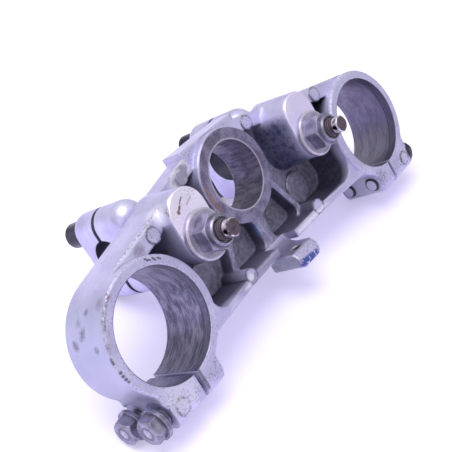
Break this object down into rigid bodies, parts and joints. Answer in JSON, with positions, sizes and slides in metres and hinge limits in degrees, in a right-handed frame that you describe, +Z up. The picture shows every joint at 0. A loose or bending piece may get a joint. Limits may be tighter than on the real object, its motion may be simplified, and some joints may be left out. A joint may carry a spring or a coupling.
{
  "type": "motorcycle triple clamp",
  "caption": "Cast upper fork clamp of a motorcycle: split rings grip the fork legs, a central boss takes the steering stem, and bolted holders with caps grip the handlebar.",
  "frame": {"origin": "on the steering stem axis, at the lower machined face of the stem boss", "axes": "+X to the right of the bike, along the line of the fork rings; +Y to the front; +Z up along the stem axis, towards the handlebar"},
  "size_m": [0.2551, 0.0909, 0.1133],
  "materials": {
    "cast_aluminium": "satin, cast",
    "bar_aluminium": "satin",
    "worn_steel": "worn",
    "zinc_steel": "zinc plated",
    "black_steel": "black"
  },
  "bodies": {
    "root": {"crown": "cast_aluminium", "bar_holder_left": "bar_aluminium", "bar_holder_right": "bar_aluminium", "bar_cap_left": "bar_aluminium", "bar_cap_right": "bar_aluminium", "cap_bolt_rear_left": "black_steel", "cap_bolt_front_left": "black_steel", "cap_bolt_rear_right": "black_steel", "cap_bolt_front_right": "black_steel", "bar_stud_left": "worn_steel", "bar_stud_right": "worn_steel", "stud_washer_left": "worn_steel", "stud_washer_right": "worn_steel", "stud_nut_left": "zinc_steel", "stud_nut_right": "zinc_steel", "pinch_bolt_lower_left": "zinc_steel", "pinch_bolt_upper_left": "zinc_steel", "pinch_bolt_lower_right": "black_steel", "pinch_bolt_upper_right": "black_steel"}
  },
  "joints": []
}
